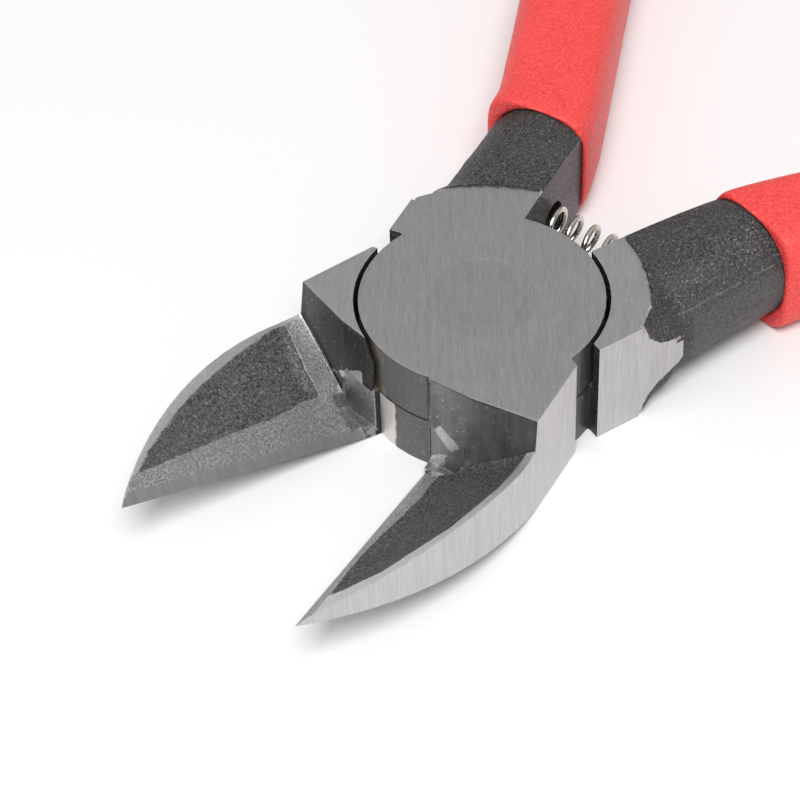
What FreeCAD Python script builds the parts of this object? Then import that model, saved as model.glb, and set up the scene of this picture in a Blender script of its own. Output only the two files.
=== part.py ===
import FreeCAD, Part
import math
import os
from FreeCAD import Vector

# Lap-joint sprue nippers, lying open on their flat side.
# Frame: origin on the pivot axis at the underside plane, +X towards the jaw tips, midway
# between the two jaws, +Y towards the jaw of the upper half, +Z up. Millimetres.
# Each half is drawn in the closed position and then turned open by half the rest angle.

# Head
DISC_R = 10.0             # lap disc of each half
HEAD_T = 10.0             # thickness between the two ground faces
LAP_GAP = 0.04            # running gap between the two lapped discs
POCKET_R = 10.4           # shoulder pocket that the other half's disc turns in
GROUND_R = 13.6           # the ground top face ends on this arc about the pivot
REST_HALF_ANGLE = 15.8    # each half is open this far when the spring is relaxed
MEETING_GAP = 0.02        # each half stops this far from the closing plane

# Jaw, closed position, on the +Y side
FRONT = ((9.95, -1.0), (10.75, 4.0), (11.05, 11.0))  # front edge of the top face, from the closing plane
FRONT_CORNER = (11.0, 9.7)
WALL_FOOT_X = 11.45       # foot of the sloping wall between head and blade
SHOULDER_BACK = (4.1, 10.05)
NOTCH = (3.5, 9.2)
OUTER_MID = (23.2, 7.1)   # the outer profile is one arc through this point
TIP_X = 33.5
TIP_Z = 5.5               # both faces of the blade run up to this height at the tip
HEEL_X = 10.5
BEVEL_RISE = 0.60         # rise of the blade's bevel per millimetre away from the edge
BEVEL_STEP = 0.35         # height of the bevel above the edge, gained by the steep edge bevel
EDGE_RISE = 1.1           # rise of the steep bevel along the cutting edge
HOLLOW_DEPTH = 0.3        # forged hollow in the bevel
HOLLOW_X = 13.6           # its straight end beside the wall
HOLLOW_TIP_X = 31.2
HOLLOW_HEEL_Y = 9.0
HOLLOW_OUTER = ((29.2, 3.2), (26.1, 5.0), (23.0, 6.5), (18.8, 8.0))
UPPER_HOLLOW_INNER = (1.8, 1.0)  # distance of the hollow from the edge, at its start and its end
LOWER_HOLLOW_INNER = (3.6, 1.7)
HEEL_RELIEF_WIDTH = 3.4   # small ground facet where the wall, the blade and the lap meet
HEEL_RELIEF_Z = (1.0, 5.3)
HEEL_RELIEF_SLANT = 0.2

# Handle, closed position, on the -Y side of the same half (drawn with y positive)
INNER_Y = 0.65            # flat inner face beside the closing plane
SHOULDER_BASE = (-4.25, 9.3)
SHOULDER_FRONT = (-4.23, 10.33)
SIDE_Y = 10.3             # plane of the ground patch on the outer side of the shoulder
ARM_Z = 5.45              # height of the handle's centre line
ARM_END = (-24.6, 9.44)   # end of the bare arm and its outer side there, under the grip
ARM_HALF_T = 5.1
ARM_SWELL = 0.1           # the arm is thicker by this at each face where it meets the shoulder
FLARE_START = (-12.8, 10.15)
FLARE_END_X = -8.4        # from here forward the shoulder is a plain block
FLARE_OUTWARD = 0.25      # slope of the outer side in the flare
FLARE_SIDE = 0.05         # what grinding the side patch takes off
FLARE_UPWARD = 0.045      # swell up and down, times the square of the distance
CORNER_SHARPENING = 0.8   # the corner radius shrinks by this per millimetre
TONGUE_Z = (3.8, 6.4)     # the side patch ends in a blunt tongue on the parting line
TONGUE_DEPTH = 3.0
INNER_OVERHANG = 3.0      # width that grinding the inner face takes off the shoulder
SECTION_STEP = 1.2
SIDE_FLAT = 0.1           # half height of the short straight stretch in the rounded sections
TANG_X = -19.0            # the round tang under the grip starts inside the arm
TANG_D = 8.6
TANG_Y = 5.05
BEND_X = -24.0            # the handle turns outwards here
SPLAY_ANGLE = 15.2
KNUCKLE_X = -76.0         # and back inwards here
HANDLE_END = (-124.0, 18.0)
FIRST_BEND_R = 22.0
SECOND_BEND_R = 90.0

# Dipped grip
UPPER_LIP_X = -21.9       # the grips end here, not quite level with each other
LOWER_LIP_X = -22.9
LIP_SLANT = 0.13          # the lips lean back towards the outer side
GRIP_WIDTH = 9.7          # narrow enough that the grips clear each other when closed
GRIP_T = 10.8
GRIP_CORNER_R = 2.6
GRIP_END_WALL = 1.6

# Rivet
RIVET_R = 3.0
RIVET_HEAD_R = 4.37
RIVET_HEAD_T = 1.4
RIVET_CLEARANCE = 0.03    # in the upper half, which turns on it

# Return spring
SPRING_X = -15.9          # centre of the two blind holes, closed position
SPRING_Z = 4.55
SPRING_HOLE_R = 2.05
SPRING_HOLE_DEPTH = 1.7
COIL_R = 1.5
WIRE_R = 0.25
SPRING_PITCH = 1.85
SPRING_SEAT_DEPTH = 0.6   # the end turns reach this far into the holes

TOP = HEAD_T
LAP = HEAD_T / 2
BIG = 60.0                # reach of cutting shapes that only have to be large
CLEAR = 1.0               # cutting shapes stand this far clear of the surface they cut
JAW_SPAN = (-1.0, 13.0)   # across the whole jaw
EDGE_SPAN = (-1.0, 2.0)   # across its cutting edge


def polygon_prism(points, z0, z1):
    """Extrude a closed polygon given as (x, y) points."""
    corners = [Vector(x, y, z0) for x, y in points]
    face = Part.Face(Part.makePolygon(corners + corners[:1]))
    return face.extrude(Vector(0, 0, z1 - z0))


def cylinder(radius, z0, z1):
    return Part.makeCylinder(radius, z1 - z0, Vector(0, 0, z0))


def edge_height(x):
    """Height of the cutting edge at x: a straight line from the heel up to the tip."""
    return TIP_Z * (x - HEEL_X) / (TIP_X - HEEL_X)


def bevel_height(x, y):
    """Height of the main bevel above the underside plane."""
    return edge_height(x) + BEVEL_STEP + BEVEL_RISE * y


def edge_bevel_height(x, y):
    """Height of the steep narrow bevel along the cutting edge."""
    return edge_height(x) + EDGE_RISE * y


def jaw_outline():
    """Outline of the jaw side: pivot, cutting edge, arc to the shoulder, notch."""
    tip = Vector(TIP_X, MEETING_GAP, 0)
    corner = Vector(FRONT_CORNER[0], FRONT_CORNER[1], 0)
    back = Vector(SHOULDER_BACK[0], SHOULDER_BACK[1], 0)
    notch = Vector(NOTCH[0], NOTCH[1], 0)
    start = Vector(0, MEETING_GAP, 0)
    edges = [Part.makeLine(start, tip)]
    edges.append(Part.Arc(tip, Vector(OUTER_MID[0], OUTER_MID[1], 0), corner).toShape())
    edges.append(Part.makeLine(corner, back))
    edges.append(Part.makeLine(back, notch))
    edges.append(Part.makeLine(notch, start))
    return Part.Face(Part.Wire(edges))


def above_plane(height, x0, y0, y1):
    """Everything beyond x0 that lies above a sloping plane."""
    foot = [Vector(x, y, height(x, y)) for x, y in ((x0, y0), (BIG, y0), (BIG, y1), (x0, y1))]
    return Part.Face(Part.makePolygon(foot + foot[:1])).extrude(Vector(0, 0, BIG))


def head_wall_cut():
    """The space in front of the sloping wall between the head's top face and the blade."""
    crest_z = TOP + CLEAR / 2
    far_x = WALL_FOOT_X + 2 * CLEAR
    foot = []
    crest = []
    for top_x, y in FRONT:
        foot_z = bevel_height(WALL_FOOT_X, y)
        stretch = (crest_z - foot_z) / (TOP - foot_z)
        foot.append(Vector(WALL_FOOT_X, y, foot_z))
        crest.append(Vector(WALL_FOOT_X + (top_x - WALL_FOOT_X) * stretch, y, crest_z))
    for y in (FRONT[-1][1], FRONT[0][1]):
        foot.append(Vector(far_x, y, bevel_height(far_x, y)))
        crest.append(Vector(far_x, y, crest_z))
    wires = [Part.makePolygon(ring + ring[:1]) for ring in (foot, crest)]
    return Part.makeLoft(wires, True, True)


def underside_cut():
    """What is taken off below the blade, so that the tip stands clear of the table."""
    near, far = JAW_SPAN
    side = [Vector(HEEL_X, near, 0), Vector(BIG, near, edge_height(BIG))]
    side += [Vector(BIG, near, -TOP), Vector(HEEL_X, near, -TOP)]
    return Part.Face(Part.makePolygon(side + side[:1])).extrude(Vector(0, far - near, 0))


def hollow_cut(inner_start, inner_end):
    """Shallow forged hollow in the bevel, leaving ground bands around it."""
    outline = [(HOLLOW_X, inner_start), (HOLLOW_TIP_X, inner_end), *HOLLOW_OUTER]
    outline.append((HOLLOW_X, HOLLOW_HEEL_Y))
    floor = [Vector(x, y, bevel_height(x, y) - HOLLOW_DEPTH) for x, y in outline]
    return Part.Face(Part.makePolygon(floor + floor[:1])).extrude(Vector(0, 0, 2 * CLEAR))


def heel_relief_cut():
    """Upright facet at the heel, cut back deepest at the cutting plane."""
    front = WALL_FOOT_X + CLEAR
    outline = [(HEEL_X, -CLEAR), (front, -CLEAR), (front, HEEL_RELIEF_WIDTH)]
    outline += [(WALL_FOOT_X - HEEL_RELIEF_SLANT, HEEL_RELIEF_WIDTH), (HEEL_X, 0)]
    return polygon_prism(outline, *HEEL_RELIEF_Z)


def jaw(inner_start, inner_end):
    """Jaw side of a half at full thickness."""
    body = jaw_outline().extrude(Vector(0, 0, HEAD_T))
    main_bevel = above_plane(bevel_height, WALL_FOOT_X + CLEAR, *JAW_SPAN)
    edge_bevel = above_plane(edge_bevel_height, WALL_FOOT_X, *EDGE_SPAN)
    hollow = hollow_cut(inner_start, inner_end)
    for tool in (underside_cut(), head_wall_cut(), heel_relief_cut(), main_bevel, edge_bevel, hollow):
        body = body.cut(tool)
    return body


def rounded_section(x, y_centre, z_centre, width, thickness, corner_r):
    """Rounded rectangle across the handle, square to X."""
    half_w = width / 2 - corner_r
    half_t = thickness / 2 - corner_r
    corners = ((1, 1), (-1, 1), (-1, -1), (1, -1))

    def spot(i, degrees):
        side, face = corners[i % 4]
        turn = math.radians(degrees)
        y = y_centre + side * half_w + corner_r * math.cos(turn)
        return Vector(x, y, z_centre + face * half_t + corner_r * math.sin(turn))

    edges = []
    for i in range(4):
        start = 90 * i
        edges.append(Part.Arc(spot(i, start), spot(i, start + 45), spot(i, start + 90)).toShape())
        edges.append(Part.makeLine(spot(i, start + 90), spot(i + 1, start + 90)))
    return Part.Wire(edges)


def handle_path(x_start, x_end):
    """Centre line of the handle: straight, splayed, straight again, with tangent arcs."""
    splay = math.tan(math.radians(SPLAY_ANGLE))
    corners = [Vector(x_start, TANG_Y, ARM_Z), Vector(BEND_X, TANG_Y, ARM_Z)]
    corners.append(Vector(KNUCKLE_X, TANG_Y + (BEND_X - KNUCKLE_X) * splay, ARM_Z))
    last = Vector(HANDLE_END[0], HANDLE_END[1], ARM_Z)
    inward = (last - corners[-1]).normalize()
    corners.append(corners[-1] + inward * ((x_end - corners[-1].x) / inward.x))
    edges = []
    here = corners[0]
    for corner, following, radius in zip(corners[1:-1], corners[2:], (FIRST_BEND_R, SECOND_BEND_R)):
        before = (corner - here).normalize()
        after = (following - corner).normalize()
        turn = before.getAngle(after)
        reach = radius * math.tan(turn / 2)
        enter = corner - before * reach
        leave = corner + after * reach
        bisector = (after - before).normalize()
        apex = corner + bisector * (radius / math.cos(turn / 2) - radius)
        edges.append(Part.makeLine(here, enter))
        edges.append(Part.Arc(enter, apex, leave).toShape())
        here = leave
    edges.append(Part.makeLine(here, corners[-1]))
    return Part.Wire(edges)


def swept(x_end, width, thickness, corner_r):
    """Rounded bar along the handle's centre line."""
    section = rounded_section(TANG_X, TANG_Y, ARM_Z, width, thickness, corner_r)
    return handle_path(TANG_X, x_end).makePipeShell([section], True, False)


def forging():
    """The swelling from the arm into the shoulder, before it is ground flat."""
    arm_x, arm_outer = ARM_END
    arm_inner = arm_outer - 2 * ARM_HALF_T
    flare_x, flare_outer = FLARE_START
    count = round((FLARE_END_X - arm_x) / SECTION_STEP)
    sections = []
    for i in range(count + 1):
        x = arm_x + (FLARE_END_X - arm_x) * i / count
        along = min((x - arm_x) / (flare_x - arm_x), 1)
        flare = max(x - flare_x, 0)
        outer = arm_outer + (flare_outer - arm_outer) * along + FLARE_OUTWARD * flare
        outer = min(outer, SIDE_Y + FLARE_SIDE)
        inner = arm_inner - (INNER_OVERHANG + arm_inner) * along
        half_t = ARM_HALF_T + ARM_SWELL * along + FLARE_UPWARD * flare ** 2
        z_centre = ARM_Z + (LAP - ARM_Z) * along
        corner_r = min(half_t, (outer - inner) / 2) - SIDE_FLAT - CORNER_SHARPENING * flare
        centre = (inner + outer) / 2
        sections.append(rounded_section(x, centre, z_centre, outer - inner, 2 * half_t, corner_r))
    return Part.makeLoft(sections, True, False)


def handle():
    """Handle side of a half at full thickness, drawn with y positive."""
    front = [(0, 0), SHOULDER_BASE, SHOULDER_FRONT, (FLARE_END_X, SIDE_Y), (FLARE_END_X, 0)]
    ground = Part.makeBox(BIG, SIDE_Y - INNER_Y, 2 * TOP, Vector(-BIG, INNER_Y, 0))
    arm = forging().common(ground).cut(cylinder(GROUND_R, TOP, 2 * TOP))
    tongue = ((FLARE_START[0], SIDE_Y - TONGUE_DEPTH), (FLARE_END_X, SIDE_Y - TONGUE_DEPTH))
    tongue = polygon_prism([*tongue, (FLARE_END_X, SIDE_Y), (FLARE_START[0], SIDE_Y)], *TONGUE_Z)
    tang = swept(HANDLE_END[0], TANG_D, TANG_D, TANG_D / 2 - SIDE_FLAT)
    mouth = Vector(SPRING_X, INNER_Y - CLEAR, SPRING_Z)
    hole = Part.makeCylinder(SPRING_HOLE_R, SPRING_HOLE_DEPTH + CLEAR, mouth, Vector(0, 1, 0))
    return polygon_prism(front, 0, TOP).fuse([arm, tongue, tang]).cut(hole)


def mirrored(shape):
    """Swap the two sides of the closing plane."""
    return shape.mirror(Vector(0, 0, 0), Vector(0, 1, 0))


def half(is_upper):
    """One forged half, closed position, with its jaw on +Y and its handle on -Y."""
    layer = (LAP + LAP_GAP / 2, TOP) if is_upper else (0, LAP - LAP_GAP / 2)
    pocket = (-CLEAR, layer[0]) if is_upper else (layer[1], TOP + CLEAR)
    sides = jaw(*(UPPER_HOLLOW_INNER if is_upper else LOWER_HOLLOW_INNER)).fuse(mirrored(handle()))
    sides = sides.cut(cylinder(POCKET_R, *pocket))
    return sides.fuse(cylinder(DISC_R, *layer)).removeSplitter()


def opened(shape, is_upper):
    """Turn a closed half to the rest position."""
    placed = shape if is_upper else mirrored(shape)
    placed.rotate(Vector(0, 0, 0), Vector(0, 0, 1), REST_HALF_ANGLE if is_upper else -REST_HALF_ANGLE)
    return placed


def rivet_body(clearance):
    """Flush rivet with a countersunk head at each face."""
    r = RIVET_R + clearance
    head_r = RIVET_HEAD_R + clearance
    profile = [Vector(0, 0, 0), Vector(head_r, 0, 0), Vector(r, 0, RIVET_HEAD_T)]
    profile += [Vector(r, 0, TOP - RIVET_HEAD_T), Vector(head_r, 0, TOP), Vector(0, 0, TOP)]
    face = Part.Face(Part.makePolygon(profile + profile[:1]))
    return face.revolve(Vector(0, 0, 0), Vector(0, 0, 1), 360)


def grip(lip_x):
    """Dipped sleeve over the handle from the lip back, closed position, drawn with y positive."""
    outer = swept(HANDLE_END[0] - GRIP_END_WALL, GRIP_WIDTH, GRIP_T, GRIP_CORNER_R)
    bare = polygon_prism([(lip_x, 0), (lip_x - LIP_SLANT * BIG, BIG), (BIG, BIG), (BIG, 0)], 0, 2 * TOP)
    return outer.cut(bare).cut(handle())


def spring_seat():
    """Centre of the spring hole's mouth in the opened position, on the +Y side."""
    a = math.radians(REST_HALF_ANGLE)
    x = SPRING_X * math.cos(a) + INNER_Y * math.sin(a)
    y = -SPRING_X * math.sin(a) + INNER_Y * math.cos(a)
    return x, y


def return_spring():
    """Compression spring between the two arms, square to +X."""
    x, y = spring_seat()
    reach = y + SPRING_SEAT_DEPTH - WIRE_R
    helix = Part.makeHelix(SPRING_PITCH, 2 * reach, COIL_R)
    wire = Part.Wire(Part.makeCircle(WIRE_R, Vector(COIL_R, 0, 0), Vector(0, 1, 0)))
    coil = Part.Wire(helix.Edges).makePipeShell([wire], True, True)
    coil.rotate(Vector(0, 0, 0), Vector(1, 0, 0), -90)
    coil.translate(Vector(x, -reach, SPRING_Z))
    return coil


def build():
    lower = opened(half(False).cut(rivet_body(0)), False)
    upper = opened(half(True).cut(rivet_body(RIVET_CLEARANCE)), True)
    return {
        "lower_half": lower,
        "upper_half": upper,
        "pivot_rivet": rivet_body(0),
        "return_spring": return_spring(),
        "lower_grip": opened(mirrored(grip(LOWER_LIP_X)), False),
        "upper_grip": opened(mirrored(grip(UPPER_LIP_X)), True),
    }


os.makedirs("parts", exist_ok=True)
for node, shape in build().items():
    shape.exportStep("parts/%s.step" % node)
    verdict = "valid" if shape.isValid() else "INVALID"
    print(node, len(shape.Solids), "solid", round(shape.Volume, 2), "mm3", verdict)
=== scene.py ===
import math

import bmesh
import bpy
import numpy as np
from mathutils import Matrix, Vector, noise


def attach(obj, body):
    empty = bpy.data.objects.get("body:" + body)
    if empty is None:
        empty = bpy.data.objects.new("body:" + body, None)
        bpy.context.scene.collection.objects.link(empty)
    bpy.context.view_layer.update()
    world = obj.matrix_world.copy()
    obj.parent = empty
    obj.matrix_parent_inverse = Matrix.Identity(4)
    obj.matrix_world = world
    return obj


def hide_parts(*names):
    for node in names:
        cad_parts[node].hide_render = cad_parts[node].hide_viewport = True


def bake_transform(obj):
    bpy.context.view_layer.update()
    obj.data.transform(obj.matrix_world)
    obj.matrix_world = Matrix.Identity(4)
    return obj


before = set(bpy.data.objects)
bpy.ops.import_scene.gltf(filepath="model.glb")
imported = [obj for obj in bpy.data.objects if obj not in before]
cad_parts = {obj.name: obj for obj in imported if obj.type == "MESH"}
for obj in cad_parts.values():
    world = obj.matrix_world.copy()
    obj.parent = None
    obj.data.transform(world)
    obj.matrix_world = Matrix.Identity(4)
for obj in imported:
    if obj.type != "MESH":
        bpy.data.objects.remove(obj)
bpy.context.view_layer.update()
scene = bpy.context.scene

MM = 0.001  # sizes and places below are in millimetres

UPPER, LOWER = 1, -1
REST_HALF_ANGLE = math.radians(15.8)

# Driving dimensions of the design. A half is "drawn" in its closed position, jaw on +Y
HEAD_T = 10.0
LAP_Z = 5.0
DISC_R = 10.0
POCKET_R = 10.4
GROUND_R = 13.6
WALL_FOOT_X = 11.45
HEEL_X = 10.5
TIP_X = 33.5
TIP_Z = 5.5
BEVEL_STEP = 0.35
BEVEL_RISE = 0.60
CAD_HOLLOW_DEPTH = 0.3
RIVET_HEAD_R = 4.37
RIVET_CLEARANCE = 0.03
INNER_Y = 0.65
SIDE_Y = 10.3
SPRING_X = -15.9
SPRING_Z = 4.55
SPRING_HOLE_R = 2.05

# Handle and grip, with the handle drawn on the -Y side
ARM_Z = 5.45
TANG_X = -19.0
TANG_Y = 5.05
TANG_HALF = 4.32
ARM_END_X = -24.6
ARM_HALF = 5.05
BEND_X = -24.0
SPLAY = math.tan(math.radians(15.2))
KNUCKLE_X = -76.0
HANDLE_END = (-124.0, 18.0)
BEND_RADII = (22.0, 90.0)
BEND_POINTS = 24
LIP_X = {UPPER: -21.9, LOWER: -22.9}
LIP_SLANT = 0.13
LIP_STRAIGHTENING = 15.0  # the slant fades out over this length
LIP_BULGE = np.array((0.25, 0.09))   # in half width and half thickness
SOFTENING = 0.3           # the section gets rounder by this over the length below
SOFTENING_LENGTH = 50.0
END_ROUNDING = 2.8
GRIP_HALF_WIDTH = 4.85
GRIP_HALF_T = 5.4
GRIP_END_WALL = 1.6
GRIP_SIDES = 96           # points round the section
GRIP_LUMPS = 0.008        # share by which the width varies
INNER_SOFTNESS = 0.12     # rounding where the flat inner side starts
# The lip rolls over from the arm to the outside: distance behind the lip, and share of the
# way from the arm's section to the grip's, which goes past 1 at the bulge
LIP_ROLL = [(0.35, -0.02), (0.12, 0.02), (0.0, 0.2), (-0.05, 0.5), (0.0, 0.8), (0.12, 1.1), (0.3, 1.35),
            (0.55, 1.5), (0.9, 1.52), (1.4, 1.42), (2.0, 1.28), (2.8, 1.12), (3.6, 1.03), (4.6, 1.0)]
LIP_LENGTH = 4.6          # the roll ends this far behind the lip
BODY_START = 5.6          # the plain part starts this far behind the lip
BODY_STEP = 1.2           # spacing of the rings along the outside and along the tang
TANG_STEP = 2.5
HEADING_STEP = 0.2        # either way along the line, to find where it is heading
# Sections round the handle's centre line: shift outwards, half width, half thickness,
# squareness (1 is an ellipse, less is squarer), and the plane that the inner side stops at
ARM_SECTION = np.array((-0.69, ARM_HALF, ARM_HALF + 0.07, 0.94, INNER_Y - 0.03))
TANG_SECTION = np.array((0.0, TANG_HALF, TANG_HALF, 0.94, INNER_Y - 0.03))
GRIP_SECTION = np.array((0.0, GRIP_HALF_WIDTH, GRIP_HALF_T, 0.5, TANG_Y - GRIP_HALF_WIDTH - 0.2))

# Return spring, in the assembly's frame
COIL_R = 1.58
WIRE_R = 0.26
FIRST_TURN = 0.3
SPRING_PITCH = 1.85
SPRING_REACH = 5.4
CLOSED_TURN_RISE = 2.2    # of each end turn, in wire radii
SPRING_PHASE = math.radians(165)
STEPS_PER_TURN = 40
WIRE_SIDES = 14

# Finish of the visible surfaces
ARRIS = 0.08              # rounding of the crisp edges
CRISP = math.radians(25)  # edges with a sharper turn than this are rounded
GRID = 0.45               # spacing of the cuts that refine the head
GRID_X = (-25.0, TIP_X)   # the refined part, from under the grip to the tip
GRID_Y = (-13.0, 10.5)
HOLLOW_DEPTH = 0.28
HOLLOW_RAMP = 1.1         # the floor of the hollow falls over this width
HOLLOW_WAVE = 0.09        # unevenness of that floor
SCALE_HEIGHT = 0.045      # unevenness of the forged surfaces
SCALE_SINK = 0.6          # share of it by which they lie lower, to stay inside the CAD's
WALL_WAVE = 0.02          # unevenness of the front walls
FACET_RISE = 0.05         # the bright facets stand out by this much either way
FACET_RAMP = 0.3

# Outline of the forged hollow on each blade, drawn position: from the heel along the
# cutting edge to the tip end, then back along the outer edge.
HOLLOW = {
    LOWER: [(13.6, 3.65), (15.5, 3.5), (17.6, 3.05), (21.9, 2.7), (25.3, 2.4), (31.2, 1.7),
            (29.2, 3.15), (26.1, 4.95), (23.8, 6.1), (20.7, 7.3), (18.6, 8.05), (14.6, 9.2),
            (13.1, 9.4)],
    UPPER: [(11.2, 1.7), (15.4, 1.85), (18.7, 1.6), (21.3, 1.1), (24.2, 0.85), (29.9, 1.0),
            (29.5, 1.6), (27.0, 4.1), (23.6, 5.8), (21.3, 7.0), (18.6, 7.75), (15.8, 8.5),
            (11.2, 9.0)],
}
HOLLOW_TIP = 5            # which corner of the outline is nearest the tip, on both blades

# Small facets where the front wall, the blade and the lap meet: outlines in y and z on the
# front wall, drawn position. Bright ones are a lighter ground steel, dull ones a darker one.
FACETS = {
    (LOWER, "bright"): [[(5.25, 3.9), (3.4, 5.05), (1.4, 6.5), (0.86, 4.4), (3.2, 4.25)],
                        [(2.45, 2.75), (2.15, 2.1), (0.3, 0.55), (0.15, 1.15)]],
    (LOWER, "dull"): [[(3.6, 4.2), (3.35, 3.7), (2.6, 2.4), (0.65, 1.6), (0.5, 0.2), (3.6, 0.2)]],
    (UPPER, "bright"): [[(0.55, 4.85), (1.2, 5.9), (3.15, 4.2), (2.1, 3.2)],
                        [(-0.2, 0.5), (0.3, 1.8), (1.9, 2.7), (1.5, 1.2)]],
    (UPPER, "dull"): [[(-0.8, 5.4), (0.6, 5.6), (2.2, 3.2), (0.9, 1.8), (-0.8, 2.4)]],
}
# Bands of other tone round the disc walls: drawn angles in degrees over which each fades in
LOWER_WALL_BRIGHT = (-12.6, -11.4)
UPPER_WALL_STAIN = (-26.2, -28.0)
# Rise of each blade into its front wall, full at the outer side
FILLET_START_X = 14.2
FILLET_Y = (3.0, 9.5)
FILLET_RISE = {LOWER: 0.3, UPPER: 0.7}
# Ground patch on the outer side of each shoulder: outline in x and z, drawn position
SIDE_PATCH = [(-3.0, -1.0), (-3.0, 11.0), (-8.4, 11.0), (-8.7, 10.0), (-9.2, 8.5), (-10.3, 7.35),
              (-11.5, 7.05), (-12.65, 6.6), (-12.75, 4.4), (-11.3, 3.5), (-10.0, 2.7), (-9.3, 2.0),
              (-8.85, 1.1), (-8.6, -1.0)]
LAP_LINE = 0.13           # half width of the dark line where the two discs meet
# Trimmed flash line along the outer side of each arm, with a smoother flank between the lines
CREASE_HALF = 2.65
CREASE_Y = -7.4
CREASE_FRONT_X = -13.3
CREASE_WIDTH = 0.5
CREASE_HEIGHT = 0.07
# Painted shade: the inner face of the arm is black below a slanting line beside the disc
SHADE_LINE_POINT = (-13.56, 9.41)
SHADE_LINE_SLOPE = 0.947
SHADE_BACK_X = -15.4

ZONES = ("face", "side", "shoulder", "blade", "edge", "forged", "wall", "front", "arris", "inner",
         "slot", "facet")
# Limits for sorting the faces of a half into those zones, in the drawn position
LEVEL = 0.97              # least z of the unit normal of a level face
UPRIGHT = 0.5             # most z of the unit normal of an upright face
ON_PLANE = 0.02           # how near a face is to a plane that it lies on
ON_ROUND = 0.15           # how near a face is to a round wall that it lies on
SHOULDER_X = (-14.0, -3.3)
SHOULDER_DEPTH = 0.9
JAW_SIDE_X = 3.3          # the ground side of the jaw starts here
POCKET_X = (-4.6, 4.2)    # the walls of the shoulder pocket lie between these
SPRING_HOLE_Y = (-3.0, -INNER_Y - 0.03)
EDGE_NORMAL_Y = -0.62     # the steep bevel along the cutting edge leans inwards by more
THROAT_FACET = (HEEL_X - 0.5, 3.4, LAP_Z + 0.3)  # least x, most y and most z of the heel facets
BLADE_HOLLOW = (13.5, 0.9)  # least x and y of the hollow on the CAD blade
CUTTING_EDGE = (11.0, 0.3)  # least x, and most y either way

# Values that the finishes share
SPREAD = (0.3, 0.7)       # noise mostly stays between these
SCALE_METAL = 0.35        # metallic share and roughness of black scale
SCALE_ROUGH = (0.62, 0.50)


# ---------------------------------------------------------------- node helper

class Shader:
    """Builds one procedural material; the methods return sockets that feed each other."""

    def __init__(self, name):
        self.material = bpy.data.materials.new(name)
        self.material.use_nodes = True
        self.tree = self.material.node_tree
        self.surface = self.tree.nodes["Principled BSDF"]
        self.place = self.node("ShaderNodeTexCoord").outputs["Object"]

    def feed(self, socket, value):
        if isinstance(value, bpy.types.NodeSocket):
            self.tree.links.new(value, socket)
        elif socket.type == "RGBA" and len(value) == 3:
            socket.default_value = (*value, 1.0)
        else:
            socket.default_value = value

    def node(self, kind, **inputs):
        made = self.tree.nodes.new(kind)
        for key, value in inputs.items():
            self.feed(made.inputs[key.replace("_", " ")], value)
        return made

    def set(self, **inputs):
        for key, value in inputs.items():
            self.feed(self.surface.inputs[key.replace("_", " ")], value)

    def math(self, operation, a, b=0.0):
        made = self.tree.nodes.new("ShaderNodeMath")
        made.operation = operation
        self.feed(made.inputs[0], a)
        self.feed(made.inputs[1], b)
        return made.outputs[0]

    def stretched(self, along, across, upright, angle=0.0):
        """Coordinates turned about Z, with this many features per metre on each axis."""
        made = self.tree.nodes.new("ShaderNodeMapping")
        made.vector_type = "TEXTURE"
        self.feed(made.inputs["Vector"], self.place)
        made.inputs["Rotation"].default_value = (0, 0, angle)
        made.inputs["Scale"].default_value = (1 / along, 1 / across, 1 / upright)
        return made.outputs[0]

    def shifted(self, offset):
        """Coordinates moved by an offset, so that two textures differ."""
        made = self.tree.nodes.new("ShaderNodeMapping")
        self.feed(made.inputs["Vector"], self.place)
        made.inputs["Location"].default_value = offset
        return made.outputs[0]

    def noise(self, scale, detail=3.0, rough=0.55, vector=None):
        made = self.node("ShaderNodeTexNoise", Scale=scale, Detail=detail, Roughness=rough)
        self.feed(made.inputs["Vector"], vector or self.place)
        return made.outputs["Fac"]

    def band(self, value, low, high, to_low=0.0, to_high=1.0):
        """Straight-line map of a value, clamped at both ends."""
        made = self.tree.nodes.new("ShaderNodeMapRange")
        for i, v in enumerate((value, low, high, to_low, to_high)):
            self.feed(made.inputs[i], v)
        return made.outputs[0]

    def mix(self, share, a, b):
        made = self.tree.nodes.new("ShaderNodeMix")
        made.data_type = "RGBA"
        factor, first, second = (made.inputs[i] for i in (0, 6, 7))
        self.feed(factor, share)
        self.feed(first, a)
        self.feed(second, b)
        return made.outputs[2]

    def scaled(self, colour, factor):
        made = self.tree.nodes.new("ShaderNodeVectorMath")
        made.operation = "SCALE"
        self.feed(made.inputs[0], colour)
        self.feed(made.inputs["Scale"], factor)
        return made.outputs[0]

    def attribute(self, name):
        made = self.tree.nodes.new("ShaderNodeAttribute")
        made.attribute_name = name
        return made.outputs["Fac"]

    def bump(self, height, distance, strength=1.0):
        made = self.node("ShaderNodeBump", Height=height, Strength=strength)
        made.inputs["Distance"].default_value = distance
        self.feed(self.surface.inputs["Normal"], made.outputs["Normal"])


def grey(value, warm=0.0):
    """A grey, with its red raised and its blue lowered by the share that it is warm."""
    return (value * (1 + warm), value, value * (1 - warm))


# ------------------------------------------------------------------ materials

def grinding(s, angle, upright):
    """Fine parallel grinding lines, along angle on the flat faces or up the walls."""
    if upright:
        fine = s.noise(1.0, 4.0, 0.6, s.stretched(5200, 5200, 260))
        broad = s.noise(1.0, 2.0, 0.5, s.stretched(1500, 1500, 80))
    else:
        fine = s.noise(1.0, 4.0, 0.7, s.stretched(620, 8200, 400, angle))
        broad = s.noise(1.0, 2.0, 0.5, s.stretched(160, 2400, 200, angle))
    return s.math("ADD", s.math("MULTIPLY", fine, 0.75), s.math("MULTIPLY", broad, 0.25))


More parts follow.
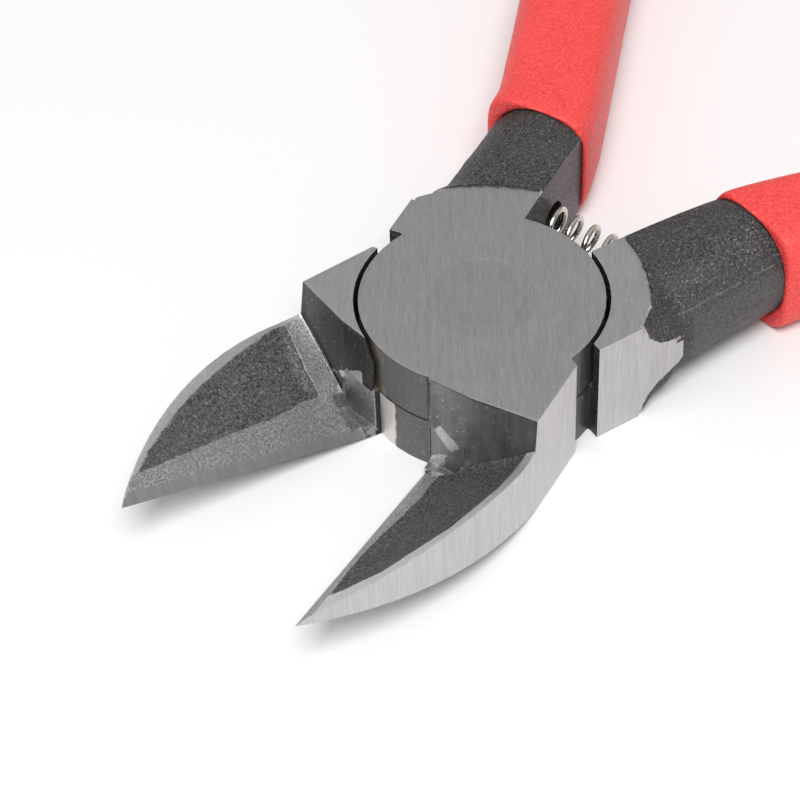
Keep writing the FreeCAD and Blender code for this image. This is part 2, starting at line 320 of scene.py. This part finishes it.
def scratches(s, angle, share):
    """Sparse long hairline scratches that cross the grinding."""
    lines = s.noise(1.0, 1.0, 0.5, s.stretched(45, 5200, 300, angle))
    patches = s.band(s.noise(420.0, 2.0), 0.5, 0.62)
    return s.math("MULTIPLY", s.math("MULTIPLY", s.band(lines, 0.70, 0.74), patches), share)


def ground_colour(s, lines, tone, warm=0.0):
    """Steel that is lighter on the ridges of the grinding and a little cloudy."""
    shade = s.mix(s.band(lines, 0.35, 0.65), grey(tone * 0.88, warm), grey(tone * 1.12, warm))
    cloud = s.noise(220.0, 3.0)
    return s.mix(s.band(cloud, 0.4, 0.75, 0.0, 0.25), shade, grey(tone * 0.92, warm))


def forged_colour(s, tone):
    """Sand-blasted black scale with cloudy wear and fine bright specks."""
    grain = s.noise(4600.0, 3.0, 0.7)
    cloud = s.noise(260.0, 4.0)
    specks = s.band(s.noise(5200.0, 2.0, 0.6), 0.61, 0.7)
    shade = s.mix(s.band(grain, 0.38, 0.64), grey(tone * 0.25), grey(tone * 2.0))
    shade = s.mix(s.band(cloud, 0.38, 0.7, 0.0, 0.4), shade, grey(tone * 1.5))
    return s.mix(s.math("MULTIPLY", specks, 0.7), shade, grey(0.3)), grain


def scale_surface(s, colour, grain, height, strength):
    """Dull black scale of this colour, with the grain standing up by the height."""
    s.set(Base_Color=colour, Metallic=SCALE_METAL, Roughness=s.band(grain, *SPREAD, *SCALE_ROUGH))
    s.bump(grain, height * MM, strength)


def centred(s, value, size):
    """A 0 to 1 value as an offset of at most half the size either way."""
    return s.math("MULTIPLY", s.math("SUBTRACT", value, 0.5), size)


def ground_steel(name, tone, angle=0.0, warm=0.0, upright=False, rough=(0.42, 0.54)):
    """Bare ground steel, with light and dark scratches across the flat faces."""
    s = Shader(name)
    lines = grinding(s, angle, upright)
    colour = ground_colour(s, lines, tone, warm)
    if not upright:
        light = scratches(s, angle + math.radians(64), 0.35)
        dark = scratches(s, angle - math.radians(38), 0.3)
        colour = s.mix(light, colour, grey(min(tone * 1.6, 1.0)))
        colour = s.mix(dark, colour, grey(tone * 0.6))
    s.set(Base_Color=colour, Metallic=1.0, Roughness=s.band(lines, *SPREAD, *rough))
    s.bump(lines, 0.015 * MM, 0.5)
    return s.material


def forged_steel(name, tone):
    """Sand-blasted black forging, smoother and greyer on the flank of the arm."""
    s = Shader(name)
    shade, grain = forged_colour(s, tone)
    smooth = s.mix(s.band(grain, 0.36, 0.66), grey(tone * 1.15), grey(tone * 2.6))
    ragged = centred(s, s.noise(1200.0, 3.0), 0.5)
    flank = s.attribute("flank")
    shade = s.mix(s.band(s.math("ADD", flank, ragged), 0.0, 0.9), shade, smooth)
    line = s.band(s.math("ABSOLUTE", flank), 0.03, 0.12, 0.7, 0.0)
    line = s.math("MULTIPLY", line, s.band(s.noise(900.0, 3.0), 0.35, 0.7))
    scale_surface(s, s.mix(line, shade, grey(0.2)), grain, 0.06, 0.8)
    return s.material


def slot_steel(name):
    """The walls of the gaps and the spring hole: black scale, darker still as painted shade."""
    s = Shader(name)
    # Darker than the other forging: painted shade in the gaps and the spring hole
    shade, grain = forged_colour(s, 0.02)
    scale_surface(s, shade, grain, 0.06, 0.8)
    return s.material


def inner_face(name, tone):
    """Flat inner face of an arm: purplish worn scale, with black painted shade beside the disc."""
    s = Shader(name)
    shade, grain = forged_colour(s, tone)
    shade = s.mix(0.4, shade, (tone * 1.25, tone * 0.95, tone * 1.2))
    ragged = centred(s, s.noise(900.0, 3.0), 0.5)
    # Black below the slanting line beside the disc is painted shade
    black = s.band(s.math("ADD", s.attribute("shade_beside_disc"), ragged), -0.15, 0.15)
    dark, _ = forged_colour(s, 0.028)
    scale_surface(s, s.mix(black, shade, dark), grain, 0.05, 0.7)
    return s.material


def shoulder_side(name, tone, forged_tone):
    """Outer side of a shoulder: a ground patch with a torn edge on the black forging."""
    s = Shader(name)
    lines = grinding(s, 0.0, True)
    ragged = centred(s, s.noise(1700.0, 3.0, 0.6), 0.3)
    bare = s.band(s.math("ADD", s.attribute("patch"), ragged), -0.02, 0.04)
    forged, grain = forged_colour(s, forged_tone)
    s.set(Base_Color=s.mix(bare, forged, ground_colour(s, lines, tone, 0.012)))
    s.set(Metallic=s.band(bare, 0.0, 1.0, SCALE_METAL, 1.0))
    s.set(Roughness=s.band(bare, 0.0, 1.0, 0.56, 0.48))
    s.bump(s.math("ADD", s.math("MULTIPLY", bare, 0.8), grain), 0.04 * MM, 0.6)
    return s.material


def front_wall(name, tone, brighter):
    """Front wall: dark and worn smooth, with small ground facets near the closing plane.

    It gets brighter by a gain from one y to another, both in the drawn position.
    """
    s = Shader(name)
    start_y, end_y, gain = brighter
    lift = s.band(s.attribute("across"), start_y, end_y, 1.0, gain)
    streaks = s.noise(1.0, 3.0, 0.6, s.stretched(1500, 1500, 200))
    cloud = s.noise(380.0, 4.0)
    shade = s.mix(s.band(streaks, 0.35, 0.7), grey(tone * 0.75), grey(tone * 1.25))
    shade = s.mix(s.band(cloud, 0.42, 0.72, 0.0, 0.6), shade, grey(tone * 1.8))
    specks = s.band(s.noise(3300.0, 2.0, 0.6), 0.66, 0.74)
    shade = s.mix(s.math("MULTIPLY", specks, 0.6), shade, grey(0.4))
    shade = s.scaled(shade, lift)
    lines = grinding(s, 0.0, True)
    ragged = centred(s, s.noise(1400.0, 3.0, 0.6), 0.35)
    dull = s.band(s.math("ADD", s.attribute("dull"), ragged), -0.05, 0.08)
    bright = s.band(s.math("ADD", s.attribute("bright"), ragged), -0.03, 0.05)
    shade = s.mix(dull, shade, ground_colour(s, lines, 0.24))
    shade = s.mix(bright, shade, ground_colour(s, lines, 0.52))
    bare = s.math("MAXIMUM", dull, bright)
    s.set(Base_Color=shade, Metallic=s.band(bare, 0.0, 1.0, 0.5, 1.0))
    s.set(Roughness=s.band(cloud, *SPREAD, 0.42, 0.55))
    s.bump(s.math("ADD", streaks, s.noise(2600.0, 3.0)), 0.03 * MM, 0.6)
    return s.material


def two_finish(name, ground_tone, forged_tone, rim_highlight_tone):
    """The blade: black scale in the hollow, blasted steel round it, and a smoother outer rim whose
    lighter colour is a painted highlight.
    """
    s = Shader(name)
    edge = centred(s, s.noise(900.0, 4.0, 0.6), 0.5)
    inside = s.band(s.math("ADD", s.attribute("hollow"), edge), -0.03, 0.05)
    grain = s.noise(5600.0, 3.0, 0.7)
    cloud = s.noise(300.0, 3.0)
    ground = s.mix(s.band(grain, 0.34, 0.68), grey(ground_tone * 0.5), grey(ground_tone * 1.55))
    ground = s.mix(s.band(cloud, 0.4, 0.7, 0.0, 0.35), ground, grey(ground_tone * 0.8))
    # The outer rim is smoother steel, painted lighter as a highlight
    rim = s.band(s.math("ADD", s.attribute("rim"), edge), -0.05, 0.05)
    smooth = s.mix(s.band(grain, *SPREAD), grey(rim_highlight_tone * 0.85), grey(rim_highlight_tone * 1.15))
    ground = s.mix(rim, ground, smooth)
    rust = s.band(s.noise(330.0, 3.0, vector=s.shifted((0.4, 0.1, 0.2))), 0.6, 0.72, 0.0, 0.3)
    ground = s.mix(rust, ground, (ground_tone * 1.02, ground_tone * 0.85, ground_tone * 0.74))
    forged, _ = forged_colour(s, forged_tone)
    s.set(Base_Color=s.mix(inside, ground, forged))
    s.set(Metallic=s.band(inside, 0.0, 1.0, 1.0, SCALE_METAL))
    s.set(Roughness=s.band(inside, 0.0, 1.0, 0.5, 0.58))
    s.bump(s.math("ADD", grain, s.math("MULTIPLY", inside, -0.5)), 0.035 * MM, 0.6)
    return s.material


def disc_wall(name, side):
    """The round wall of a lap disc: ground, with bands of different tone round it."""
    s = Shader(name)
    lines = grinding(s, 0.0, True)
    ragged = centred(s, s.noise(500.0, 3.0), 6.0)
    turn = s.math("ADD", s.attribute("turn"), ragged)
    dark = ground_colour(s, lines, 0.14)
    speckle = s.band(s.noise(2800.0, 3.0, 0.7), 0.56, 0.7, 0.0, 0.5)
    dark = s.mix(speckle, dark, grey(0.3))
    if side == LOWER:
        bare = ground_colour(s, lines, 0.7, 0.05)
        stain = s.band(s.noise(700.0, 3.0), 0.5, 0.7, 0.0, 0.5)
        worn = s.mix(stain, bare, (0.56, 0.45, 0.39))
        share = s.band(turn, *LOWER_WALL_BRIGHT)
    else:
        stain = s.band(s.noise(700.0, 3.0), 0.4, 0.65)
        worn = s.mix(stain, (0.20, 0.185, 0.16), (0.30, 0.24, 0.21))
        share = s.band(turn, *UPPER_WALL_STAIN)
    frayed = centred(s, s.noise(1500.0, 2.0), 0.14)
    lap = s.band(s.math("ADD", s.attribute("lap"), frayed), 0.0, 0.05)
    s.set(Base_Color=s.mix(lap, s.mix(share, dark, worn), grey(0.012)), Metallic=0.85)
    s.set(Roughness=s.band(lines, *SPREAD, 0.40, 0.55))
    s.bump(s.math("ADD", lines, speckle), 0.03 * MM, 0.6)
    return s.material


def vinyl(name):
    """Dipped PVC: saturated satin red with fine orange peel."""
    s = Shader(name)
    peel = s.noise(2200.0, 4.0, 0.6)
    fine = s.noise(5200.0, 2.0, 0.6)
    cloud = s.noise(60.0, 3.0)
    shade = s.mix(s.band(cloud, *SPREAD), (0.76, 0.048, 0.044), (0.86, 0.064, 0.058))
    shade = s.mix(s.band(fine, 0.5, 0.3, 0.0, 0.7), shade, (0.50, 0.026, 0.024))
    shade = s.mix(s.band(fine, 0.55, 0.7, 0.0, 0.7), shade, (0.95, 0.13, 0.12))
    s.set(Base_Color=shade, Roughness=s.band(peel, *SPREAD, 0.40, 0.52))
    s.set(Subsurface_Weight=0.1, Subsurface_Scale=0.4 * MM)
    s.bump(peel, 0.2 * MM, 1.0)
    return s.material


def spring_wire():
    """Bright hard-drawn wire, slightly yellow."""
    s = Shader("spring_wire")
    cloud = s.noise(2500.0, 3.0)
    s.set(Base_Color=s.mix(s.band(cloud, *SPREAD), (0.60, 0.58, 0.53), (0.78, 0.75, 0.68)))
    s.set(Metallic=1.0, Roughness=s.band(cloud, *SPREAD, 0.16, 0.26))
    return s.material


# -------------------------------------------------------------------- meshes

def to_drawn(side):
    """From the assembly's frame in metres to the drawn closed position in millimetres."""
    flip = Matrix.Diagonal((1, side, 1, 1))
    return Matrix.Scale(1 / MM, 4) @ flip @ Matrix.Rotation(-side * REST_HALF_ANGLE, 4, "Z")


def bevel_height(x, y):
    """Height of a blade's bevel in the drawn position, without its hollow."""
    edge = TIP_Z * (x - HEEL_X) / (TIP_X - HEEL_X)
    return edge + BEVEL_STEP + BEVEL_RISE * y


def signed_distance(x, y, outline):
    """Distance of points from a closed outline, positive inside."""
    corners = np.array(outline)
    following = np.roll(corners, -1, axis=0)
    nearest = np.full(len(x), 1e9)
    inside = np.zeros(len(x), bool)
    for (ax, ay), (bx, by) in zip(corners, following):
        dx, dy = bx - ax, by - ay
        t = np.clip(((x - ax) * dx + (y - ay) * dy) / (dx * dx + dy * dy), 0, 1)
        nearest = np.minimum(nearest, np.hypot(x - ax - t * dx, y - ay - t * dy))
        if ay != by:
            crosses = ((ay > y) != (by > y)) & (x < ax + (y - ay) * dx / dy)
            inside ^= crosses
    return np.where(inside, nearest, -nearest)


def sliced(bm, axis, start, stop, step):
    """Cut the mesh by parallel planes, so that it can carry fine shape."""
    normal = Vector((0, 0, 0))
    normal[axis] = 1
    for place in np.arange(start, stop, step):
        point = Vector((0, 0, 0))
        point[axis] = place
        everything = bm.verts[:] + bm.edges[:] + bm.faces[:]
        bmesh.ops.bisect_plane(bm, geom=everything, dist=1e-5, plane_co=point, plane_no=normal)


def between(value, limits):
    return limits[0] < value < limits[1]


def ground_zone(c, n, r):
    """Zone of a face that the top, bottom or outer side was ground to, or None."""
    on_top = abs(c.z - HEAD_T) < ON_PLANE
    on_bottom = c.z < ON_PLANE and r < GROUND_R
    if abs(n.z) > LEVEL and (on_top or on_bottom):
        return "face"
    if between(c.x, SHOULDER_X) and c.y < -SIDE_Y + SHOULDER_DEPTH and n.y < -0.45:
        return "shoulder"
    if c.y < -SIDE_Y + ARRIS and n.y < -0.6:
        return "side"
    if r > DISC_R + 0.01 and c.x > JAW_SIDE_X and n.y > 0.3 and n.z < UPRIGHT:
        return "side"
    if c.z > HEAD_T - 1.5 * ARRIS and n.z > 0.2 and (r < GROUND_R - ON_PLANE or c.x > 0):
        return "arris"
    return None


def disc_zone(c, n, r):
    """Zone of a face on or within the walls of the disc and the pocket, or None."""
    upright = abs(n.z) < UPRIGHT
    outward = (n.x * c.x + n.y * c.y) / max(r * math.hypot(n.x, n.y), 1e-6)
    if upright and abs(r - DISC_R) < ON_ROUND and outward > LEVEL:
        return "wall"
    if upright and abs(r - POCKET_R) < ON_ROUND and outward < -0.9:
        return "slot"
    if r >= POCKET_R:
        return None
    if upright:
        return "front" if c.x > POCKET_X[1] else "slot"
    return "face"


def jaw_zone(c, n):
    """Zone of any other face in front of the pocket."""
    if n.z < -UPRIGHT:
        return "face"
    if c.x > WALL_FOOT_X - 0.1 and n.z > 0.4:
        return "edge" if n.y < EDGE_NORMAL_Y else "blade"
    least_x, most_y, most_z = THROAT_FACET
    if c.x > least_x and c.y < most_y and c.z < most_z:
        return "facet"
    return "front"


def arm_zone(c, n):
    """Zone of any other face behind the front of the pocket."""
    if c.x > POCKET_X[0] and c.y > -SIDE_Y - 0.1:
        return "slot"
    from_spring = math.hypot(c.x - SPRING_X, c.z - SPRING_Z)
    if from_spring < SPRING_HOLE_R + ON_PLANE and between(c.y, SPRING_HOLE_Y):
        return "slot"
    if n.y > 0.9 and c.y > -INNER_Y - ARRIS:
        return "inner"
    return "forged"


def zone_of(c, n):
    """Which zone a face of a half is in, from its centre and normal in the drawn position."""
    r = math.hypot(c.x, c.y)
    zone = ground_zone(c, n, r) or disc_zone(c, n, r)
    if zone:
        return zone
    return jaw_zone(c, n) if c.x > POCKET_X[1] else arm_zone(c, n)


def fill_hollow_and_rivet_gap(bm):
    """Lift the plain hollow of the CAD blade to the bevel, and close the gap round the rivet."""
    gap_r = RIVET_HEAD_R + RIVET_CLEARANCE
    for v in bm.verts:
        x, y, z = v.co
        on_blade = x > BLADE_HOLLOW[0] and y > BLADE_HOLLOW[1]
        if on_blade and abs(z - bevel_height(x, y) + CAD_HOLLOW_DEPTH) < ON_PLANE:
            v.co.z = bevel_height(x, y)
        if abs(math.hypot(x, y) - gap_r) < 0.01:
            v.co.xy *= RIVET_HEAD_R / gap_r


def is_arris(e):
    """Whether an edge gets rounded: a crisp one, but not of the cut, the lap or the spring hole."""
    near = 0.1
    mid = (e.verts[0].co + e.verts[1].co) / 2
    cutting = mid.x > CUTTING_EDGE[0] and abs(mid.y) < CUTTING_EDGE[1]
    from_spring = math.hypot(mid.x - SPRING_X, mid.z - SPRING_Z)
    spring_hole = from_spring < SPRING_HOLE_R + near and abs(mid.y) < -SPRING_HOLE_Y[0]
    lap = math.hypot(mid.x, mid.y) < POCKET_R + near and abs(mid.z - LAP_Z) < near
    return e.calc_face_angle(0) > CRISP and not cutting and not spring_hole and not lap


def refined_half(node, side):
    """A finely divided copy of a forged half, in the drawn position."""
    bm = bmesh.new()
    bm.from_mesh(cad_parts[node].data)
    bm.transform(to_drawn(side))
    if side == LOWER:
        bmesh.ops.reverse_faces(bm, faces=bm.faces)
    bmesh.ops.remove_doubles(bm, verts=bm.verts, dist=0.002)
    fill_hollow_and_rivet_gap(bm)
    bmesh.ops.remove_doubles(bm, verts=bm.verts, dist=0.05)
    flat = math.radians(0.4)
    bmesh.ops.dissolve_limit(bm, angle_limit=flat, verts=bm.verts, edges=bm.edges)
    crisp = [e for e in bm.edges if is_arris(e)]
    bmesh.ops.bevel(bm, geom=crisp, offset=ARRIS, offset_type="OFFSET", segments=2, profile=0.5,
                    affect="EDGES", clamp_overlap=True)
    bmesh.ops.triangulate(bm, faces=bm.faces)
    sliced(bm, 0, *GRID_X, GRID)
    sliced(bm, 1, *GRID_Y, GRID)
    sliced(bm, 2, GRID, HEAD_T - 0.1, GRID)
    bm.normal_update()
    return bm


def surface_fields(bm, side):
    """Values at the vertices that the shapes and the materials follow, positive inside areas."""
    x, y, z = np.array([v.co for v in bm.verts]).T
    outer_edge = np.array(HOLLOW[side][HOLLOW_TIP:][::-1]).T
    shade_line_x, shade_line_z = SHADE_LINE_POINT
    fields = {
        "hollow": signed_distance(x, y, HOLLOW[side]),
        "rim": y - np.interp(x, *outer_edge),
        "turn": np.degrees(np.arctan2(y, x)),
        "across": y,
        "lap": LAP_LINE - abs(z - LAP_Z),
        "patch": signed_distance(x, z, SIDE_PATCH),
        "flank": np.min([CREASE_HALF - abs(z - ARM_Z), CREASE_Y - y, CREASE_FRONT_X - x], axis=0),
        "shade_beside_disc": np.minimum(shade_line_z + SHADE_LINE_SLOPE * (x - shade_line_x) - z, x - SHADE_BACK_X),
    }
    for finish in ("bright", "dull"):
        distances = [signed_distance(y, z, outline) for outline in FACETS[side, finish]]
        fields[finish] = np.max(distances, axis=0)
    return fields


def unevenness(place, per_mm, offset, octaves):
    """Smooth noise, mostly between -1 and 1, with this many waves per millimetre."""
    return noise.fractal(place * per_mm + Vector(offset), 1.0, 2.0, octaves)


def clamped(value, low=0.0, high=1.0):
    return min(max(value, low), high)


def shape_surfaces(bm, side):
    """Sort the faces into zones, sink the hollow and make the forged surfaces uneven."""
    fields = surface_fields(bm, side)
    for f in bm.faces:
        f.material_index = ZONES.index(zone_of(f.calc_center_median(), f.normal))
    for i, v in enumerate(bm.verts):
        around = {ZONES[f.material_index] for f in v.link_faces}
        if around == {"blade"}:
            ramp = clamped(fields["hollow"][i] / HOLLOW_RAMP)
            ramp = ramp * ramp * (3 - 2 * ramp)
            wave = unevenness(v.co, 0.35, (7 * side, 0, 0), 3)
            v.co.z -= ramp * (HOLLOW_DEPTH + HOLLOW_WAVE * wave)
        if "blade" in around and v.co.x < FILLET_START_X:
            near = min((FILLET_START_X - v.co.x) / (FILLET_START_X - WALL_FOOT_X), 1.0)
            outward = clamped((v.co.y - FILLET_Y[0]) / (FILLET_Y[1] - FILLET_Y[0]))
            v.co.z += FILLET_RISE[side] * near * near * outward
        if around == {"forged"}:
            wave = unevenness(v.co, 0.5, (0, 11 * side, 0), 3)
            ridge = max(1 - abs(fields["flank"][i]) / CREASE_WIDTH, 0.0)
            v.co += v.normal * (SCALE_HEIGHT * (wave - SCALE_SINK) + CREASE_HEIGHT * ridge)
        if around <= {"front", "facet"}:
            wave = unevenness(v.co, 0.6, (5, 3 * side, 0), 2)
            raised = clamped(fields["bright"][i] / FACET_RAMP, -1.0)
            sunk = WALL_WAVE + FACET_RISE
            v.co += v.normal * (WALL_WAVE * wave + FACET_RISE * raised - sunk)
    return fields


def forged_half(name, node, body, side, finishes):
    """A forged half with its fine shape and finishes, in place of the CAD one."""
    bm = refined_half(node, side)
    fields = shape_surfaces(bm, side)
    if side == LOWER:
        bmesh.ops.reverse_faces(bm, faces=bm.faces)
    bm.transform(to_drawn(side).inverted())
    mesh = bpy.data.meshes.new(name)
    bm.to_mesh(mesh)
    bm.free()
    for key, values in fields.items():
        mesh.attributes.new(key, "FLOAT", "POINT").data.foreach_set("value", values.astype(np.float32))
    for zone in ZONES:
        mesh.materials.append(finishes[zone])
    mesh.set_sharp_from_angle(angle=math.radians(24))
    piece = bpy.data.objects.new(name, mesh)
    scene.collection.objects.link(piece)
    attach(piece, body)
    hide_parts(node)


def skin(name, rings, finish):
    """Closed mesh through rings of points, with both ends capped."""
    count = len(rings[0])
    points = np.concatenate(rings)
    faces = []
    for i in range(len(rings) - 1):
        for j in range(count):
            k = (j + 1) % count
            faces.append((i * count + j, i * count + k, (i + 1) * count + k, (i + 1) * count + j))
    faces.append(tuple(range(count)))
    faces.append(tuple(range((len(rings) - 1) * count, len(rings) * count)))
    mesh = bpy.data.meshes.new(name)
    mesh.from_pydata(points.tolist(), [], faces)
    bm = bmesh.new()
    bm.from_mesh(mesh)
    bmesh.ops.recalc_face_normals(bm, faces=bm.faces)
    bm.to_mesh(mesh)
    bm.free()
    mesh.shade_smooth()
    mesh.materials.append(finish)
    piece = bpy.data.objects.new(name, mesh)
    scene.collection.objects.link(piece)
    return piece


def centre_line():
    """The handle's centre line in its plane, drawn with y positive, and the distance along it."""
    knuckle = np.array((KNUCKLE_X, TANG_Y + (BEND_X - KNUCKLE_X) * SPLAY))
    corners = [np.array((TANG_X, TANG_Y)), np.array((BEND_X, TANG_Y)), knuckle]
    inward = np.array(HANDLE_END) - knuckle
    end_x = HANDLE_END[0] - GRIP_END_WALL
    corners.append(knuckle + inward * (end_x - knuckle[0]) / inward[0])
    line = [corners[0]]
    for before, corner, after, radius in zip(corners, corners[1:], corners[2:], BEND_RADII):
        back = (before - corner) / np.linalg.norm(before - corner)
        on = (after - corner) / np.linalg.norm(after - corner)
        reach = radius * math.tan(math.acos(-back @ on) / 2)
        for t in np.linspace(0, 1, BEND_POINTS):
            line.append(corner + back * reach * (1 - t) ** 2 + on * reach * t ** 2)
    line.append(corners[-1])
    line = np.array(line)
    along = np.concatenate([[0], np.cumsum(np.hypot(*np.diff(line, axis=0).T))])
    return line, along


def power(value, exponent):
    """A power that keeps the sign of the value."""
    return math.copysign(abs(value) ** exponent, value)


def grip_ring(line, along, s, section, side, slant=0.0):
    """Points round the handle at the distance s along it."""
    behind, here, ahead = (
        np.array([np.interp(s + step, along, line[:, k]) for k in (0, 1)])
        for step in (-HEADING_STEP, 0.0, HEADING_STEP)
    )
    heading = (ahead - behind) / np.linalg.norm(ahead - behind)
    shift, half_w, half_t, squareness, inner_y = section
    points = []
    back = to_drawn(side).inverted()
    for j in range(GRIP_SIDES):
        turn = 2 * math.pi * (j + 0.5) / GRIP_SIDES
        lump = noise.noise(Vector((s * 0.11, math.cos(turn), math.sin(turn) + 3 * side)))
        out = shift + half_w * (1 + GRIP_LUMPS * lump) * power(math.cos(turn), squareness)
        up = half_t * power(math.sin(turn), squareness)
        x = here[0] + heading[1] * out
        y = here[1] - heading[0] * out
        y = inner_y + INNER_SOFTNESS * np.logaddexp(0, (y - inner_y) / INNER_SOFTNESS)
        x -= slant * (y - INNER_Y)
        points.append(back @ Vector((x, -y, ARM_Z + up)))
    return points


def grip(name, node, body, side, finish):
    """Dipped sleeve with a rolled lip, a rounded end and a hollow for the tang."""
    line, along = centre_line()
    lip = np.interp(-LIP_X[side], -line[:, 0], along)
    arm_end = np.interp(-ARM_END_X, -line[:, 0], along)
    end = along[-1]
    ledge = arm_end + 0.1
    tang = [end - GRIP_END_WALL - 0.2, *np.arange(end - 4, arm_end + 1, -TANG_STEP), ledge]
    rings = [grip_ring(line, along, s, TANG_SECTION, side) for s in tang]
    rings.append(grip_ring(line, along, ledge, ARM_SECTION, side))
    for behind, share in LIP_ROLL:
        section = ARM_SECTION + (GRIP_SECTION - ARM_SECTION) * min(share, 1)
        section[1:3] += LIP_BULGE * max(share - 1, 0)
        rings.append(grip_ring(line, along, lip + behind, section, side, LIP_SLANT))
    section = GRIP_SECTION.copy()
    for s in np.arange(lip + BODY_START, end - END_ROUNDING, BODY_STEP):
        slant = LIP_SLANT * max(1 - (s - lip - LIP_LENGTH) / LIP_STRAIGHTENING, 0.0)
        section[3] = GRIP_SECTION[3] + SOFTENING * min((s - lip - BODY_START) / SOFTENING_LENGTH, 1)
        rings.append(grip_ring(line, along, s, section, side, slant))
    for turn in np.radians(np.arange(0, 90, 10)):
        domed = section.copy()
        domed[1:3] -= END_ROUNDING * (1 - math.cos(turn))
        place = end - END_ROUNDING * (1 - math.sin(turn))
        rings.append(grip_ring(line, along, place, domed, side))
    piece = skin(name, rings, finish)
    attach(piece, body)
    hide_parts(node)


def spring(finish):
    """Compression spring with closed end turns."""
    x0 = SPRING_X * math.cos(REST_HALF_ANGLE) + INNER_Y * math.sin(REST_HALF_ANGLE)
    closed_rise = CLOSED_TURN_RISE * WIRE_R
    free = 2 * (SPRING_REACH - closed_rise) / SPRING_PITCH
    turns = [0, 1, 1 + free, 2 + free]
    rise = [-SPRING_REACH, -SPRING_REACH + closed_rise, SPRING_REACH - closed_rise, SPRING_REACH]
    rings = []
    for t in np.arange(FIRST_TURN, turns[-1], 1 / STEPS_PER_TURN):
        turn = SPRING_PHASE - 2 * math.pi * t
        y = np.interp(t, turns, rise)
        centre = Vector((x0 + COIL_R * math.cos(turn), y, SPRING_Z + COIL_R * math.sin(turn)))
        out = Vector((math.cos(turn), 0, math.sin(turn)))
        ring = []
        for j in range(WIRE_SIDES):
            a = 2 * math.pi * j / WIRE_SIDES
            across = out * math.cos(a) + Vector((0, math.sin(a), 0))
            ring.append((centre + WIRE_R * across) * MM)
        rings.append(ring)
    piece = skin("return_spring_coil", rings, finish)
    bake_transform(piece)
    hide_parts("return_spring")


# ------------------------------------------------------------------- staging

def white_floor():
    s = Shader("studio_white")
    white = s.mix(s.noise(3.0, 2.0), (0.765, 0.762, 0.764), (0.785, 0.782, 0.784))
    s.set(Base_Color=white, Roughness=0.6)
    mesh = bpy.data.meshes.new("floor")
    half = 3.0
    corners = [(-half, -half, 0), (half, -half, 0), (half, half, 0), (-half, half, 0)]
    mesh.from_pydata(corners, [], [(0, 1, 2, 3)])
    mesh.materials.append(s.material)
    floor = bpy.data.objects.new("floor", mesh)
    scene.collection.objects.link(floor)


def soft_light(name, direction, distance, size, watts):
    """A round soft light that points at the origin from this direction."""
    lamp = bpy.data.lights.new(name, "AREA")
    lamp.shape = "DISK"
    lamp.size = size
    lamp.energy = watts
    holder = bpy.data.objects.new(name, lamp)
    holder.location = Vector(direction).normalized() * distance
    holder.rotation_euler = Vector(direction).to_track_quat("Z", "Y").to_euler()
    scene.collection.objects.link(holder)


def studio():
    world = bpy.data.worlds.new("studio")
    world.use_nodes = True
    background = world.node_tree.nodes["Background"]
    background.inputs["Color"].default_value = (1, 1, 1, 1)
    background.inputs["Strength"].default_value = 0.5
    scene.world = world
    soft_light("key", direction=(0.386, 0.363, 1.0), distance=0.8, size=0.45, watts=6.5)
    scene.view_settings.view_transform = "Standard"


def camera():
    data = bpy.data.cameras.new("camera")
    data.sensor_width = 36.0
    data.lens = 118.14
    data.clip_start = 0.01
    holder = bpy.data.objects.new("camera", data)
    place = Vector((116.48, 100.18, 155.46)) * MM
    yaw = Matrix.Rotation(math.radians(133.2903), 4, "Z")
    tilt = Matrix.Rotation(math.radians(44.3588), 4, "X")
    roll = Matrix.Rotation(math.radians(-2.5052), 4, "Z")
    holder.matrix_world = Matrix.Translation(place) @ yaw @ tilt @ roll
    scene.collection.objects.link(holder)
    scene.camera = holder


# --------------------------------------------------------------------- build

# Tones of the two halves: the top face and its grinding angle in degrees; the front wall and
# where it gets brighter; the blade's steel, scale and rim, the rim's light tone being a painted
# highlight
TONES = {
    UPPER: {"face": 0.44, "angle": 42, "front": (0.085, (5.0, 1.5, 1.6)), "blade": (0.62, 0.07, 1.0)},
    LOWER: {"face": 0.48, "angle": 35, "front": (0.024, (6.5, 9.5, 3.6)), "blade": (0.33, 0.065, 0.45)},
}


def half_finishes(name, side):
    """The material of each zone of a half."""
    tones = TONES[side]
    angle = math.radians(tones["angle"])
    front = front_wall(name + "_front", *tones["front"])
    blade = two_finish(name + "_blade", *tones["blade"])
    return {
        "face": ground_steel(name + "_face", tones["face"], angle),
        # The rounded top edges are lighter steel: partly burr, partly a painted highlight
        "arris": ground_steel(name + "_arris", 0.75, angle),
        "side": ground_steel(name + "_side", 0.58, 0.0, 0.012, upright=True, rough=(0.5, 0.62)),
        "shoulder": shoulder_side(name + "_shoulder", 0.52, 0.045),
        "blade": blade,
        "edge": ground_steel(name + "_edge", 0.33, math.radians(70), 0.012),
        "forged": forged_steel(name + "_forged", 0.045),
        "wall": disc_wall(name + "_wall", side),
        "front": front,
        "inner": inner_face(name + "_inner", 0.12),
        "slot": slot_steel(name + "_slot"),
        "facet": front if side == UPPER else blade,
    }


camera()
studio()
white_floor()
for side, name in ((UPPER, "upper"), (LOWER, "lower")):
    forged_half(name + "_half_forging", name + "_half", name, side, half_finishes(name, side))
    grip(name + "_grip_sleeve", name + "_grip", name, side, vinyl(name + "_vinyl"))
spring(spring_wire())
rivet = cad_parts["pivot_rivet"]
rivet.data.materials.clear()
rivet.data.materials.append(ground_steel("rivet_face", 0.42, math.radians(TONES[UPPER]["angle"])))
